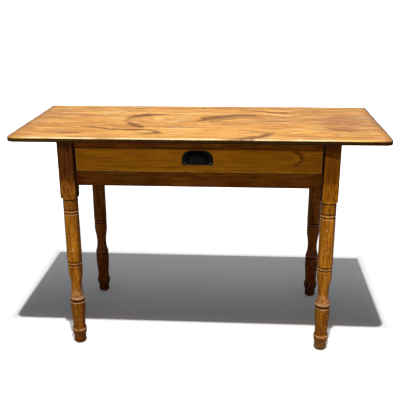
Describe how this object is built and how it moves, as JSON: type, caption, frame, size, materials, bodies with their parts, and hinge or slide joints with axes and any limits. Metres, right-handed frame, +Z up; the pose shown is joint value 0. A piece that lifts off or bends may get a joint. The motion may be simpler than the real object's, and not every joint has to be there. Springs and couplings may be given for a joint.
{
  "type": "tavern table",
  "caption": "Pine tavern table with a worn board top, turned legs, mortised aprons and a long dovetailed frieze drawer opened by a cast cup pull.",
  "frame": {"origin": "on the floor, under the middle of the table top", "axes": "+X along the table's length, +Z up, and the drawer's front faces -Y"},
  "size_m": [1.21, 0.565, 0.76],
  "materials": {
    "worn_top": "scrubbed and waxed orange pine, worn and stained",
    "brown_stain": "old walnut-brown stain and wax over pine, worn on the turnings",
    "bare_pine": "unfinished aged pine",
    "black_iron": "black japanned casting",
    "steel_screw": "darkened steel"
  },
  "bodies": {
    "table": {"top_front_board": "worn_top", "top_middle_board": "worn_top", "top_back_board": "worn_top", "leg_front_left": "brown_stain", "leg_front_right": "brown_stain", "leg_back_left": "brown_stain", "leg_back_right": "brown_stain", "back_apron": "brown_stain", "left_apron": "brown_stain", "right_apron": "brown_stain", "front_bottom_rail": "brown_stain", "front_top_rail": "brown_stain", "drawer_runner_left": "bare_pine", "drawer_guide_left": "bare_pine", "drawer_kicker_left": "bare_pine", "drawer_runner_right": "bare_pine", "drawer_guide_right": "bare_pine", "drawer_kicker_right": "bare_pine", "drawer_stops": "bare_pine", "top_glue_blocks": "bare_pine", "top_screws": "steel_screw"},
    "drawer": {"drawer_front": "brown_stain", "drawer_side_left": "bare_pine", "drawer_side_right": "bare_pine", "drawer_back": "bare_pine", "drawer_bottom": "bare_pine", "drawer_pull": "black_iron", "pull_screws": "steel_screw", "bottom_nails": "steel_screw"}
  },
  "joints": [
    {"name": "drawer_slide", "type": "slide", "parent": "table", "child": "drawer", "axis": [0, -1, 0], "range_m": [0, 0.33]}
  ]
}
